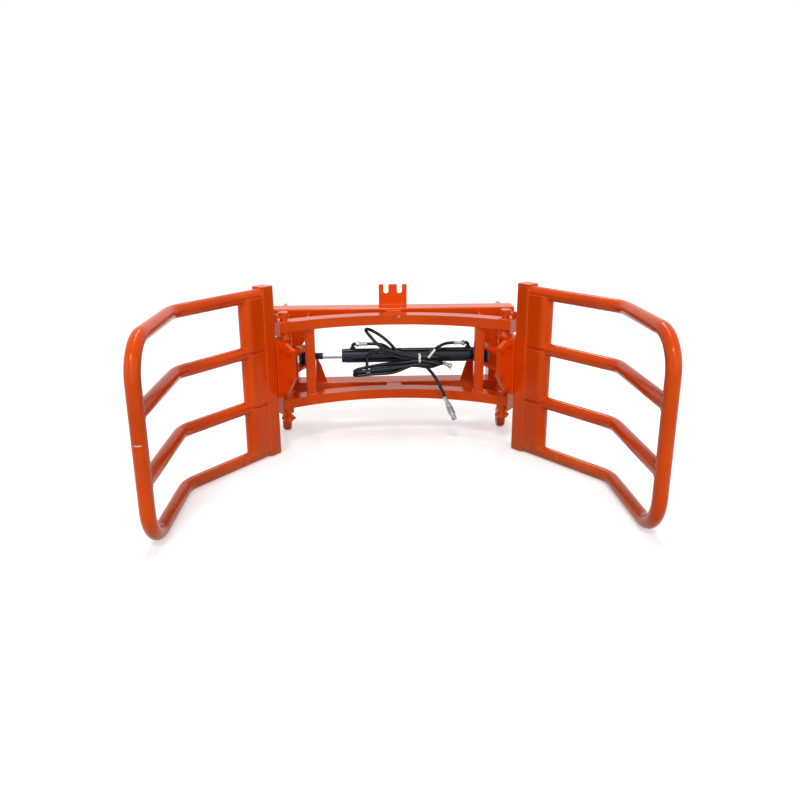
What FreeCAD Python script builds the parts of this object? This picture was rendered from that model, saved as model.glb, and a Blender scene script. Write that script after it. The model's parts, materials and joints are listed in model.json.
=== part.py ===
import FreeCAD, Part
import math
import os

os.makedirs("parts", exist_ok=True)

# Hydraulic round bale clamp for a loader quick hitch, arms open.
# Millimetres, +Z up, floor at Z = 0, X = 0 is the plane of symmetry.
# The bale side faces -Y, the loader side faces +Y, and Y = 0 is halfway along.

Vec = FreeCAD.Vector
UP = Vec(0, 0, 1)

# Clearances
weld_gap = 0.3            # between curved pieces that are welded together
pin_fit = 0.05            # radial running fit of pins in their bores
seat_gap = 0.3            # axial gap of turning pieces
bolt_fit = 0.5            # radial gap of bolts in plain holes
piston_fit = 0.08
press_fit = 0.02

# Bolts, as multiples of their diameter
head_across = 1.5
head_height = 0.63
nut_height = 0.8
bolt_past_nut = 1.1

# Hinges
hinge_x = 560.0
hinge_pin_dia = 40.0
boss_dia = 64.0
boss_inner = 20.0         # boss past the beam, towards the hub
boss_upper_out = 3.0
boss_lower_out = 28.0
washer_thick = 4.0
pin_head_dia = 54.0
pin_head_thick = 14.0
pin_stem = 30.0           # pin showing above its upper boss
pin_collar_drop = 22.0    # pin showing below its lower boss
pin_collar_height = 24.0
pin_tail = 4.0
pin_head_chamfer = 2.0
cross_bolt_dia = 10.0
keeper_thick = 12.0
keeper_width = 36.0
keeper_behind = 8.0       # keeper plate past the pin, on its outer side
keeper_corner = 6.0
keeper_grip = 3.0         # block left under the keeper bolt
keeper_reach = 46.0       # keeper bolt from the pin axis, along the beam
keeper_bolt_dia = 12.0
keeper_block_dia = 24.0
beam_bolt_dia = 8.0
beam_bolt_across = 13.0
beam_bolt_head = 5.0
beam_bolt_x = 24.0        # plain bolt in the front of the upper beam

# Rear rails and uprights
rail_behind_hinge = 274.0
rail_half = 655.0
rail_depth = 125.0
rail_height = 80.0
rail_wall = 5.0
rail_corner = 8.0
rail_cap = 5.0
upper_rail_top = 670.0
lower_rail_top = 260.0
upright_width = 60.0
upright_wall = 4.0

# Curved front beams
beam_bend_r = 1055.0      # plan radius of the centre line, which runs through the hinge pins
beam_depth = 80.0
beam_height = 50.0
beam_wall = 5.0
upper_beam_top = 662.0
lower_beam_top = 262.0
beam_past_pin = 38.0
end_plate_thick = 8.0
boss_plate_drop = 1.0     # bosses stand this far past the end plates

# Front posts, ties and gussets
front_post_x = 437.0
front_post_width = 50.0
front_post_depth = 54.0
front_post_wall = 4.0
front_post_corner = 7.0
front_post_back = 63.0    # post axis behind the hinge pins
tie_thick = 10.0
tie_inset = 4.0           # tie inside the outer face of the post
tie_low_rise = 108.0
tie_high_drop = 12.0
tie_high_height = 60.0
gusset_thick = 10.0
gusset_set_back = 8.0     # clear of the rounded rail edge
gusset_foot = 368.0       # inner foot of the lower gusset from the middle
gusset_past_tie = 12.0
gusset_rise = 139.0
gusset_shoulder = 44.0
upper_gusset_drop = 125.0
upper_gusset_width = 85.0
upper_gusset_edge = 30.0
upper_gusset_tail = 24.0
spacer_width = 84.0
spacer_height = 46.0
spacer_wall = 5.0
spacer_corner = 6.0
spacer_drop = 6.0

# Loader hitch brackets
hitch_in = 585.0          # inner faces of the brackets from the middle
hitch_thick = 16.0
leg_behind_hinge = 240.0
leg_round = 42.0
lock_bore_dia = 32.0
doubler_thick = 14.0
doubler_round = 40.0
doubler_rise = 62.0
doubler_chamfer = 7.0
hook_bore_dia = 42.0
hook_behind_rail = 45.0   # hook centre behind the rails
hook_drop = 62.0          # hook centre below the top of the upper rail
hook_wall = 20.0
hook_mouth = 24.0         # hook tip below the bar's centre
hitch_arm_height = 60.0
hitch_low_extra = 6.0     # lower arms are this much deeper
hitch_spine = 26.0        # upright web in front of the rails

# Coupling holder on the upper rail
holder_width = 154.0
holder_height = 112.0
holder_thick = 10.0
holder_slot_width = 27.0
holder_slot_depth = 49.0
holder_slot_pitch = 74.0
holder_set_back = 8.0
holder_corner = 3.0

# Arms
arm_angle = 53.3          # inner pipe runs, from the X axis towards the bale
tip_angle = 89.3          # outer pipe runs
post_reach = 150.4        # post axis from the hinge pin, along the inner runs
post_inset = 14.0         # post axis towards the bale from that line
post_side = 75.0
post_wall = 5.0
post_corner = 11.0
post_bottom = 8.0
post_top = 861.0
cap_thick = 5.0
cap_inset = 1.0
pipe_dia = 60.3
pipe_wall = 4.0
inner_run = 551.0         # post axis to the bend
outer_run = 575.0         # bend to the upright end of the hoop
pipe_bend_r = 160.0
hoop_corner_r = 152.0
top_pipe_z = 822.0
upper_pipe_z = 558.0
lower_pipe_z = 290.0
shell_reach = 80.0        # post face to the axis of the rounded nose
shell_wall = 5.0
shell_edge = 9.0          # shells stop this far from the pipe axes
shell_inset = 0.5         # shell sides inside the post's sides

# Bolted flanges between each post and its hub
flange_thick = 12.0
flange_half = 138.0
flange_top = 580.0
flange_bottom = 294.0
flange_cut_top = (46.0, 30.0)
flange_cut_low = (44.0, 75.0)
flange_cut_foot = (58.0, 33.0)
flange_corner = 5.0
flange_bolt_dia = 16.0
inner_bolt_inset = 64.0   # bolts from the sides, the top and the foot of the flange
outer_bolt_inset = 16.0
bolt_drops = (27.0, 44.0)
bolt_rises = (112.0, 40.0)

# Hubs and levers
hub_dia = 70.0
bush_dia = 50.0
bush_length = 60.0
lever_thick = 12.0
lever_hub_round = 46.0
lever_pin_round = 31.0
lever_in = 80.0           # cylinder pin from the hinge pin, towards the middle
lever_back = 171.0        # and towards the loader
clevis_gap = 76.0
web_thick = 12.0
web_hub_round = 50.0
web_corner = 20.0
web_tip_corner = 25.0

# Hydraulic cylinder
barrel_dia = 76.0
bore_dia = 60.0
rod_dia = 30.0
cylinder_pin_dia = 30.0
eye_dia = 58.0
eye_width = 74.0
eye_neck_dia = 36.0
eye_neck_start = 15.0
open_pivot_gap = 2.3      # radial, the rod eye on the left lever pin
barrel_end_to_pin = 55.0
barrel_length = 684.0
base_thick = 22.0
rod_shown = 101.0
gland_length = 20.0
gland_lip = 20.0
gland_step = 1.5
piston_length = 40.0
piston_from_end = 110.0
pin_washer_dia = 48.0
pin_washer_thick = 6.0
pin_foot = 8.0
pin_top = 4.0
port_boss_dia = 30.0
port_boss_height = 8.0
port_rod_side = 38.0      # port from the gland end of the barrel
port_base_side = 32.0     # port from the base end of the barrel

# Hoses and their fittings
hose_dia = 17.0
elbow_dia = 18.0
elbow_rise = 17.0
elbow_run = 18.0
elbow_bend_r = 10.0
swivel_across = 26.0
swivel_length = 14.0
ferrule_dia = 21.0
ferrule_length = 44.0
coupling_dia = 29.0
coupling_length = 48.0
coupling_tip_dia = 24.0
coupling_tip_length = 32.0
hank_depth = 54.0         # three hoses deep
free_fitting = (256.0, -31.0)   # start of the fitting on the hose end in the hank, across and up
free_ferrule_length = 34.0
cable_tie_x = 127.0
cable_tie_width = 5.0
cable_tie_thick = 1.6
cable_tie_corner = 1.0

# Derived places
pipe_levels = (top_pipe_z, upper_pipe_z, lower_pipe_z, pipe_dia / 2.0)
through_all = upper_rail_top + holder_height
inner_sin = math.sin(math.radians(arm_angle))
front_reach = ((post_reach + inner_run) * inner_sin + post_inset * math.cos(math.radians(arm_angle))
               + outer_run * math.sin(math.radians(tip_angle)) + pipe_dia / 2.0)
rear_reach = rail_behind_hinge + rail_depth + hook_behind_rail + hook_bore_dia / 2.0 + hook_wall
hinge_y = (front_reach - rear_reach) / 2.0
hub_mid_z = (upper_beam_top - beam_height + lower_beam_top) / 2.0
arc_y = hinge_y - math.sqrt(beam_bend_r ** 2 - hinge_x ** 2)
beam_front_r = beam_bend_r - beam_depth / 2.0
beam_rear_r = beam_bend_r + beam_depth / 2.0
pin_turn = math.degrees(math.asin(hinge_x / beam_bend_r))
end_turn = pin_turn + math.degrees(beam_past_pin / beam_bend_r)
rail_front = hinge_y + rail_behind_hinge
rail_rear = rail_front + rail_depth
rail_mid = rail_front + rail_depth / 2.0
leg_y = hinge_y + leg_behind_hinge
front_post_y = hinge_y + front_post_back
upper_boss_low = upper_beam_top - beam_height - boss_inner
upper_boss_high = upper_beam_top + boss_upper_out
lower_boss_low = lower_beam_top - beam_height - boss_lower_out
lower_boss_high = lower_beam_top + boss_inner
hub_low = lower_boss_high + washer_thick + 2.0 * seat_gap
hub_high = upper_boss_low - washer_thick - 2.0 * seat_gap
pin_r = hinge_pin_dia / 2.0
pin_low = lower_boss_low - pin_collar_drop - pin_collar_height - pin_tail
head_low = upper_boss_high + pin_stem
cyl_y = hinge_y + lever_back
cyl_pin_x = hinge_x - lever_in
barrel_right = cyl_pin_x - barrel_end_to_pin
barrel_left = barrel_right - barrel_length
cyl_z = hub_mid_z


def box(x0, x1, y0, y1, z0, z1):
    return Part.makeBox(x1 - x0, y1 - y0, z1 - z0, Vec(x0, y0, z0))


def rod(radius, start, end):
    line = end - start
    return Part.makeCylinder(radius, line.Length, start, line)


def ring(outer_r, inner_r, start, end):
    line = (end - start).normalize()
    bore = rod(inner_r, start - line, end + line)
    return rod(outer_r, start, end).cut(bore)


def mirrored(shape):
    return shape.mirror(Vec(0, 0, 0), Vec(1, 0, 0))


def rounded_wire(corners):
    # corners: (point, radius) in order; a tangent arc replaces each corner with a radius
    edges = []
    marks = []
    count = len(corners)
    for i in range(count):
        point, radius = corners[i]
        before = (corners[i - 1][0] - point).normalize()
        after = (corners[(i + 1) % count][0] - point).normalize()
        if radius <= 0.0:
            marks.append((point, None, point))
            continue
        half = before.getAngle(after) / 2.0
        back = radius / math.tan(half)
        inward = (before + after).normalize()
        middle = point + inward * (radius / math.sin(half) - radius)
        marks.append((point + before * back, middle, point + after * back))
    for i in range(count):
        first, middle, last = marks[i]
        if middle is not None:
            edges.append(Part.Arc(first, middle, last).toShape())
        following = marks[(i + 1) % count][0]
        if (following - last).Length > 1e-6:
            edges.append(Part.LineSegment(last, following).toShape())
    return Part.Wire(edges)


def plate(corners, thickness):
    return Part.Face(rounded_wire(corners)).extrude(thickness)


def section_tube(width, depth, wall, corner, low, high, centre):
    # upright square or rectangular tube, rounded corners
    def outline(w, d, r, z):
        a = w / 2.0
        b = d / 2.0
        signs = ((-1, -1), (1, -1), (1, 1), (-1, 1))
        return [(Vec(s * a, t * b, z), r) for s, t in signs]
    outer = plate(outline(width, depth, corner, low), Vec(0, 0, high - low))
    inner_r = max(corner - wall, 0.5)
    inner = outline(width - 2.0 * wall, depth - 2.0 * wall, inner_r, low - 1.0)
    tube = outer.cut(plate(inner, Vec(0, 0, high - low + 2.0)))
    tube.translate(centre)
    return tube


def lying_tube(width, height, wall, corner, length):
    # tube along X, centred on the origin
    tube = section_tube(height, width, wall, corner, -length / 2.0, length / 2.0, Vec(0, 0, 0))
    tube.rotate(Vec(0, 0, 0), Vec(0, 1, 0), 90)
    return tube


def path_wire(points, radii):
    # open path of straight runs with a tangent arc at each inner point
    edges = []
    last = points[0]
    for i in range(1, len(points) - 1):
        before = (points[i - 1] - points[i]).normalize()
        after = (points[i + 1] - points[i]).normalize()
        half = before.getAngle(after) / 2.0
        back = radii[i - 1] / math.tan(half)
        inward = (before + after).normalize()
        first = points[i] + before * back
        middle = points[i] + inward * (radii[i - 1] / math.sin(half) - radii[i - 1])
        leave = points[i] + after * back
        edges.append(Part.LineSegment(last, first).toShape())
        edges.append(Part.Arc(first, middle, leave).toShape())
        last = leave
    edges.append(Part.LineSegment(last, points[-1]).toShape())
    return Part.Wire(edges)


def swept(radius, path):
    start = path.OrderedEdges[0]
    direction = start.tangentAt(start.FirstParameter)
    circle = Part.Wire(Part.makeCircle(radius, start.valueAt(start.FirstParameter), direction))
    return path.makePipeShell([circle], True, False)


def bent_tube(radius, wall, points, radii):
    path = path_wire(points, radii)
    return swept(radius, path).cut(swept(radius - wall, path))


def hex_prism(across, height, base, direction):
    corner_r = across / math.sqrt(3.0)
    corners = []
    for i in range(6):
        turn = math.radians(60.0 * i)
        corners.append(Vec(corner_r * math.cos(turn), corner_r * math.sin(turn), 0))
    face = Part.Face(Part.makePolygon(corners + [corners[0]]))
    head = face.extrude(Vec(0, 0, height))
    head.Placement = FreeCAD.Placement(base, FreeCAD.Rotation(UP, direction))
    return head


def bolt(dia, grip_start, grip_end, nut):
    # hexagon bolt, head before grip_start, nut or plain end past grip_end
    line = (grip_end - grip_start).normalize()
    across = head_across * dia
    head = hex_prism(across, head_height * dia, grip_start - line * (head_height * dia), line)
    tail = grip_end + line * (bolt_past_nut * dia if nut else 0.0)
    solid = head.fuse(rod(dia / 2.0, grip_start, tail))
    if nut:
        solid = solid.fuse(hex_prism(across, nut_height * dia, grip_end, line))
    return solid


def chamfered(solid, axis_name, place, size):
    # chamfer round the flat end face of a solid at this place along an axis
    low = axis_name + "Min"
    high = axis_name + "Max"
    rim = []
    for edge in solid.Edges:
        bounds = edge.BoundBox
        if abs(getattr(bounds, low) - place) < 0.01 and abs(getattr(bounds, high) - place) < 0.01:
            rim.append(edge)
    return solid.makeChamfer(size, rim)


def both(solids):
    return Part.makeCompound(solids + [mirrored(s) for s in solids])


def save(name, shape):
    shape.exportStep("parts/" + name + ".step")
    print(name, len(shape.Solids), round(shape.Volume), shape.isValid())


def sector(inner_r, outer_r, low, high, turn_from, turn_to):
    # part of a ring about the plan centre of the beams; angles from the middle
    corners = [Vec(0, inner_r, low), Vec(0, outer_r, low), Vec(0, outer_r, high), Vec(0, inner_r, high)]
    face = Part.Face(Part.makePolygon(corners + [corners[0]]))
    face.rotate(Vec(0, 0, 0), UP, -turn_from)
    solid = face.revolve(Vec(0, 0, 0), UP, turn_from - turn_to)
    solid.translate(Vec(0, arc_y, 0))
    return solid


# Rear rails, capped at their ends
def rail_outline(width, height, radius, start, mid_z):
    signs = ((-1, -1), (1, -1), (1, 1), (-1, 1))
    return [(Vec(start, rail_mid + a * width / 2.0, mid_z + b * height / 2.0), radius) for a, b in signs]


rails = []
for top in (upper_rail_top, lower_rail_top):
    mid_z = top - rail_height / 2.0
    rail = lying_tube(rail_depth, rail_height, rail_wall, rail_corner, 2.0 * (rail_half - rail_cap))
    rail.translate(Vec(0, rail_mid, mid_z))
    cap = plate(rail_outline(rail_depth, rail_height, rail_corner, rail_half - rail_cap, mid_z), Vec(rail_cap, 0, 0))
    rails += [rail, cap, mirrored(cap)]
save("rear_rails", Part.makeCompound(rails))

# Rear uprights between the rails
upright = section_tube(upright_width, rail_depth, upright_wall, rail_corner, lower_rail_top,
                       upper_rail_top - rail_height, Vec(hitch_in - upright_width / 2.0, rail_mid, 0))
save("rear_uprights", both([upright]))


# Curved front beams, hollow, with the hinge bosses let in
def front_beam(top):
    low = top - beam_height
    outer = sector(beam_front_r, beam_rear_r, low, top, -end_turn, end_turn)
    inner = sector(beam_front_r + beam_wall, beam_rear_r - beam_wall, low + beam_wall, top - beam_wall,
                   -end_turn - 1.0, end_turn + 1.0)
    beam = outer.cut(inner)
    for side in (-1, 1):
        axis = Vec(side * hinge_x, hinge_y, low - 1.0)
        beam = beam.cut(Part.makeCylinder(boss_dia / 2.0 + weld_gap, beam_height + 2.0, axis))
    return beam


save("front_top_beam", front_beam(upper_beam_top))
save("front_bottom_beam", front_beam(lower_beam_top))

end_step = math.degrees(end_plate_thick / beam_bend_r)
end_plates = []
for low, high in ((upper_boss_low, upper_boss_high - boss_plate_drop),
                  (lower_boss_low + boss_plate_drop, lower_boss_high)):
    end_plates.append(sector(beam_front_r, beam_rear_r, low, high, end_turn, end_turn + end_step))
save("beam_end_plates", both(end_plates))

# Hinge bosses, thrust washers and pins
bosses = []
for low, high in ((upper_boss_low, upper_boss_high), (lower_boss_low, lower_boss_high)):
    bosses.append(ring(boss_dia / 2.0, pin_r + pin_fit, Vec(hinge_x, hinge_y, low), Vec(hinge_x, hinge_y, high)))
save("hinge_bosses", both(bosses))

washers = []
for low in (lower_boss_high, upper_boss_low - washer_thick):
    washers.append(ring(boss_dia / 2.0, pin_r + bolt_fit, Vec(hinge_x, hinge_y, low),
                        Vec(hinge_x, hinge_y, low + washer_thick)))
save("thrust_washers", both(washers))

cross_z = pin_low + pin_tail + pin_collar_height / 2.0
cross_bore = rod(cross_bolt_dia / 2.0 + pin_fit, Vec(hinge_x - pin_head_dia, hinge_y, cross_z),
                 Vec(hinge_x + pin_head_dia, hinge_y, cross_z))
hinge_pin = rod(pin_r, Vec(hinge_x, hinge_y, pin_low), Vec(hinge_x, hinge_y, head_low))
pin_head = rod(pin_head_dia / 2.0, Vec(hinge_x, hinge_y, head_low), Vec(hinge_x, hinge_y, head_low + pin_head_thick))
hinge_pin = hinge_pin.fuse(chamfered(pin_head, "Z", head_low + pin_head_thick, pin_head_chamfer))
hinge_pin = hinge_pin.cut(cross_bore).removeSplitter()
save("hinge_pins", both([hinge_pin]))

collar_low = pin_low + pin_tail
collar = ring(pin_head_dia / 2.0, pin_r + pin_fit, Vec(hinge_x, hinge_y, collar_low),
              Vec(hinge_x, hinge_y, collar_low + pin_collar_height)).cut(cross_bore)

# Keeper plates hold the pins, each bolted down to a block on the beam
keeper_low = head_low - keeper_thick
keeper_foot = upper_boss_high - boss_plate_drop
half_keeper = keeper_width / 2.0
keeper_tail = pin_r + keeper_behind
keeper_tip = keeper_reach + half_keeper
keeper = plate([(Vec(-keeper_tail, -half_keeper, keeper_low), keeper_corner),
                (Vec(keeper_tip, -half_keeper, keeper_low), half_keeper - 1.0),
                (Vec(keeper_tip, half_keeper, keeper_low), half_keeper - 1.0),
                (Vec(-keeper_tail, half_keeper, keeper_low), keeper_corner)], Vec(0, 0, keeper_thick))
keeper = keeper.cut(rod(pin_r + pin_fit, UP * (keeper_low - 1.0), UP * (head_low + 1.0)))
keeper_hole = rod(keeper_bolt_dia / 2.0 + pin_fit, Vec(keeper_reach, 0, keeper_foot + keeper_grip - 1.0),
                  Vec(keeper_reach, 0, head_low + 1.0))
keeper = keeper.cut(keeper_hole)
keeper_block = rod(keeper_block_dia / 2.0, Vec(keeper_reach, 0, keeper_foot), Vec(keeper_reach, 0, keeper_low))
keeper_block = keeper_block.cut(keeper_hole)
keeper_bolt = bolt(keeper_bolt_dia, Vec(keeper_reach, 0, head_low), Vec(keeper_reach, 0, keeper_foot + keeper_grip), False)
for piece in (keeper, keeper_block, keeper_bolt):
    piece.rotate(Vec(0, 0, 0), UP, -pin_turn)
    piece.translate(Vec(hinge_x, hinge_y, 0))
save("pin_retainers", both([collar, keeper, keeper_block]))

cross_bolt = bolt(cross_bolt_dia, Vec(hinge_x + pin_head_dia / 2.0, hinge_y, cross_z),
                  Vec(hinge_x - pin_head_dia / 2.0, hinge_y, cross_z), True)
beam_bolt_y = arc_y + math.sqrt(beam_front_r ** 2 - (beam_bolt_x + beam_bolt_dia) ** 2)
beam_bolt = hex_prism(beam_bolt_across, beam_bolt_head,
                      Vec(beam_bolt_x, beam_bolt_y, upper_beam_top - beam_bolt_dia), Vec(0, -1, 0))
save("frame_bolts", both([keeper_bolt, cross_bolt]))
save("beam_bolt", beam_bolt)

# Front posts between the beams
front_post = section_tube(front_post_width, front_post_depth, front_post_wall, front_post_corner, lower_beam_top,
                          upper_beam_top - beam_height, Vec(front_post_x, front_post_y, 0))
save("front_posts", both([front_post]))

# Ties from the front posts back to the rails, and the gussets on the rails
post_rear = front_post_y + front_post_depth / 2.0
tie_in = front_post_x + front_post_width / 2.0 - tie_thick - tie_inset
gusset_y = rail_front + gusset_set_back
low_tie = box(tie_in, tie_in + tie_thick, post_rear, gusset_y, lower_beam_top, lower_rail_top + tie_low_rise)
low_foot = box(tie_in, tie_in + tie_thick, post_rear, rail_front, lower_beam_top - beam_height, lower_beam_top)
low_foot = low_foot.cut(Part.makeCylinder(beam_rear_r + weld_gap, through_all, Vec(0, arc_y, 0)))
low_tie = low_tie.fuse(low_foot).removeSplitter()
high_tie_top = upper_beam_top - tie_high_drop
high_tie = box(tie_in, tie_in + tie_thick, post_rear, rail_front, high_tie_top - tie_high_height, high_tie_top)
beam_space = Part.makeCylinder(beam_rear_r + weld_gap, through_all, Vec(0, arc_y, upper_beam_top - beam_height))
high_tie = high_tie.cut(beam_space)
save("frame_ties", both([low_tie, high_tie]))

outer_foot = tie_in + tie_thick + gusset_past_tie
gusset_top = lower_rail_top + gusset_rise
gusset_outline = [(gusset_foot, lower_rail_top, 0.0), (outer_foot, lower_rail_top, 0.0),
                  (outer_foot, gusset_top, gusset_thick),
                  (outer_foot - (outer_foot - gusset_foot) / 2.0, gusset_top, gusset_shoulder / 2.0),
                  (gusset_foot + gusset_shoulder / 1.5, gusset_top - gusset_shoulder, gusset_shoulder)]
low_gusset = plate([(Vec(x, gusset_y, z), r) for x, z, r in gusset_outline], Vec(0, gusset_thick, 0))
upright_in = hitch_in - upright_width
high_z = upper_rail_top - rail_height
gusset_low = high_z - upper_gusset_drop
upper_outline = [(upright_in, high_z, 0.0), (upright_in - upper_gusset_width, high_z, 0.0),
                 (upright_in - upper_gusset_width, high_z - upper_gusset_edge, gusset_thick),
                 (upright_in - upper_gusset_tail, gusset_low, gusset_thick), (upright_in, gusset_low, 0.0)]
high_gusset = plate([(Vec(x, gusset_y, z), r) for x, z, r in upper_outline], Vec(0, gusset_thick, 0))
save("rail_gussets", both([low_gusset, high_gusset]))

# Short box pieces between the beams and the rails at the middle
spacers = []
for top in (upper_beam_top, lower_beam_top):
    piece = section_tube(spacer_width, spacer_height, spacer_wall, spacer_corner, 0.0,
                         rail_front - arc_y - beam_bend_r, Vec(0, 0, 0))
    piece.rotate(Vec(0, 0, 0), Vec(1, 0, 0), 90)
    piece.translate(Vec(0, rail_front, top - spacer_drop - spacer_height / 2.0))
    spacers.append(piece.cut(Part.makeCylinder(beam_rear_r + weld_gap, through_all, Vec(0, arc_y, 0))))
save("centre_spacers", Part.makeCompound(spacers))

# Hitch brackets: forward arms to the beams, hook for the loader's bar, leg with the lock bore
hook_y = rail_rear + hook_behind_rail
hook_z = upper_rail_top - hook_drop
hook_r = hook_bore_dia / 2.0
hook_rear = hook_y + hook_r + hook_wall
high_arm_low = upper_beam_top - hitch_arm_height
low_arm_high = lower_beam_top
low_arm_low = lower_beam_top - hitch_arm_height - hitch_low_extra
back_y = hook_y - hook_r
spine_y = rail_front - hitch_spine
mouth_z = hook_z - hook_mouth
leg_z = leg_round
hitch_corners = [
    (leg_y - leg_round, low_arm_low, rail_corner),
    (hinge_y, low_arm_low, 0.0),
    (hinge_y, low_arm_high, 0.0),
    (spine_y, low_arm_high, hook_wall),
    (spine_y, high_arm_low, hook_wall),
    (hinge_y, high_arm_low, 0.0),
    (hinge_y, upper_beam_top, 0.0),
    (rail_front, upper_beam_top, 0.0),
    (rail_front + rail_corner, upper_rail_top, 0.0),
    (hook_rear, upper_rail_top, hook_r + hook_wall / 2.0),
    (hook_rear, mouth_z, rail_corner),
    (hook_y + hook_r, mouth_z, rail_corner / 2.0),
    (hook_y + hook_r, hook_z, 0.0),
    (back_y, hook_z, 0.0),
    (back_y, lower_rail_top, rail_corner),
    (leg_y + leg_round, lower_rail_top, 0.0),
    (leg_y + leg_round, leg_z, 0.0),
    (leg_y - leg_round, leg_z, 0.0),
]
hitch = plate([(Vec(hitch_in, y, z), r) for y, z, r in hitch_corners], Vec(hitch_thick, 0, 0))
hitch = hitch.fuse(rod(leg_round, Vec(hitch_in, leg_y, leg_z), Vec(hitch_in + hitch_thick, leg_y, leg_z)))
hitch = hitch.cut(rod(hook_r, Vec(0, hook_y, hook_z), Vec(rail_half, hook_y, hook_z)))
lock_bore = rod(lock_bore_dia / 2.0, Vec(0, leg_y, leg_z), Vec(rail_half, leg_y, leg_z))
beam_clear = Part.makeCylinder(beam_rear_r + weld_gap, through_all, Vec(0, arc_y, 0))
hitch = hitch.cut(lock_bore).cut(beam_clear)
for top in (upper_rail_top, lower_rail_top):
    slot = rail_outline(rail_depth + 2.0 * weld_gap, rail_height + 2.0 * weld_gap, rail_corner, hinge_x,
                        top - rail_height / 2.0)
    hitch = hitch.cut(plate(slot, Vec(rail_half - hinge_x, 0, 0)))
hitch = hitch.removeSplitter()
save("hitch_bracket_right", hitch)
save("hitch_bracket_left", mirrored(hitch))

# Thick pads on both faces of each leg, round the lock bore
pad_top = leg_z + doubler_rise
pad_half = doubler_round
doublers = []
inner_pad = hitch_in - doubler_thick
outer_pad = hitch_in + hitch_thick
for start, face in ((inner_pad, inner_pad), (outer_pad, outer_pad + doubler_thick)):
    end = start + doubler_thick
    pad = rod(pad_half, Vec(start, leg_y, leg_z), Vec(end, leg_y, leg_z))
    pad = pad.fuse(box(start, end, leg_y - pad_half, leg_y + pad_half, leg_z, pad_top)).removeSplitter()
    doublers.append(chamfered(pad, "X", face, doubler_chamfer).cut(lock_bore))
save("lock_bore_doublers", both(doublers))

# Coupling holder with two open slots
half_w = holder_width / 2.0
half_s = holder_slot_width / 2.0
slot_r = half_s - weld_gap
holder_top = upper_rail_top + holder_height
slot_z = holder_top - holder_slot_depth
outline = [(-half_w, upper_rail_top, 0.0), (half_w, upper_rail_top, 0.0), (half_w, holder_top, holder_corner)]
for centre in (holder_slot_pitch / 2.0, -holder_slot_pitch / 2.0):
    outline += [(centre + half_s, holder_top, holder_corner), (centre + half_s, slot_z, slot_r),
                (centre - half_s, slot_z, slot_r), (centre - half_s, holder_top, holder_corner)]
outline.append((-half_w, holder_top, holder_corner))
holder_y = rail_rear - holder_set_back - holder_thick
holder = plate([(Vec(x, holder_y, z), r) for x, z, r in outline], Vec(0, holder_thick, 0))
save("coupling_holder", holder)

# Arm geometry for the right side; the left arm is its mirror image
out_dir = Vec(math.cos(math.radians(arm_angle)), -math.sin(math.radians(arm_angle)), 0)
side_dir = Vec(-math.sin(math.radians(arm_angle)), -math.cos(math.radians(arm_angle)), 0)
tip_dir = Vec(math.cos(math.radians(tip_angle)), -math.sin(math.radians(tip_angle)), 0)
hinge = Vec(hinge_x, hinge_y, 0)
post_axis = hinge + out_dir * post_reach + side_dir * post_inset
arm_turn = FreeCAD.Rotation(Vec(0, 0, 1), -arm_angle)


def in_arm(shape):
    # from arm coordinates (x outwards, -y to the bale, origin at the post axis) to the part
    placed = shape.copy()
    placed.Placement = FreeCAD.Placement(post_axis, arm_turn).multiply(placed.Placement)
    return placed


def save_arm(name, shape):
    save("right_" + name, shape)
    save("left_" + name, mirrored(shape))


post = section_tube(post_side, post_side, post_wall, post_corner, post_bottom + cap_thick, post_top - cap_thick,
                    Vec(0, 0, 0))
cap_half = post_side / 2.0 - cap_inset
cap_signs = ((-1, -1), (1, -1), (1, 1), (-1, 1))
post_pieces = [post]
for low in (post_bottom, post_top - cap_thick):
    post_pieces.append(plate([(Vec(s * cap_half, t * cap_half, low), post_corner) for s, t in cap_signs],
                             Vec(0, 0, cap_thick)))
save_arm("arm_post", in_arm(Part.makeCompound(post_pieces)))

# Hoop of bent pipe: out along the top, down at the tip and back along the floor
pipe_r = pipe_dia / 2.0
pipe_start = post_axis + out_dir * (post_side / 2.0)
bend_at = post_axis + out_dir * inner_run
tip_at = bend_at + tip_dir * outer_run
top_z = pipe_levels[0]
floor_z = pipe_levels[-1]
hoop_points = [pipe_start + UP * top_z, bend_at + UP * top_z, tip_at + UP * top_z,
               tip_at + UP * floor_z, bend_at + UP * floor_z, pipe_start + UP * floor_z]
hoop_radii = [pipe_bend_r, hoop_corner_r, hoop_corner_r, pipe_bend_r]
save_arm("arm_hoop", bent_tube(pipe_r, pipe_wall, hoop_points, hoop_radii))

# Middle pipes, coped to the tip of the hoop
for label, level in (("upper", upper_pipe_z), ("lower", lower_pipe_z)):
    points = [pipe_start + UP * level, bend_at + UP * level, tip_at + UP * level]
    pipe = bent_tube(pipe_r, pipe_wall, points, [pipe_bend_r])
    cope = Part.makeCylinder(pipe_r + weld_gap, 2.0 * pipe_dia, tip_at + UP * (level - pipe_dia))
    pipe = pipe.cut(cope)
    pipe = max(pipe.Solids, key=lambda s: s.Volume)
    save_arm(label + "_arm_pipe", pipe)

# Stiffener shells: folded round a nose, welded to the post and coped over the pipes
face_x = post_side / 2.0
nose_r = post_side / 2.0 - shell_inset


def nose_profile(radius, start, low, height):
    first = Vec(start, -radius, low)
    second = Vec(face_x + shell_reach, -radius, low)
    tip = Vec(face_x + shell_reach + radius, 0, low)
    third = Vec(face_x + shell_reach, radius, low)
    fourth = Vec(start, radius, low)
    edges = [Part.LineSegment(first, second).toShape(), Part.Arc(second, tip, third).toShape(),
             Part.LineSegment(third, fourth).toShape(), Part.LineSegment(fourth, first).toShape()]
    return Part.Face(Part.Wire(edges)).extrude(Vec(0, 0, height))


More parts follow.
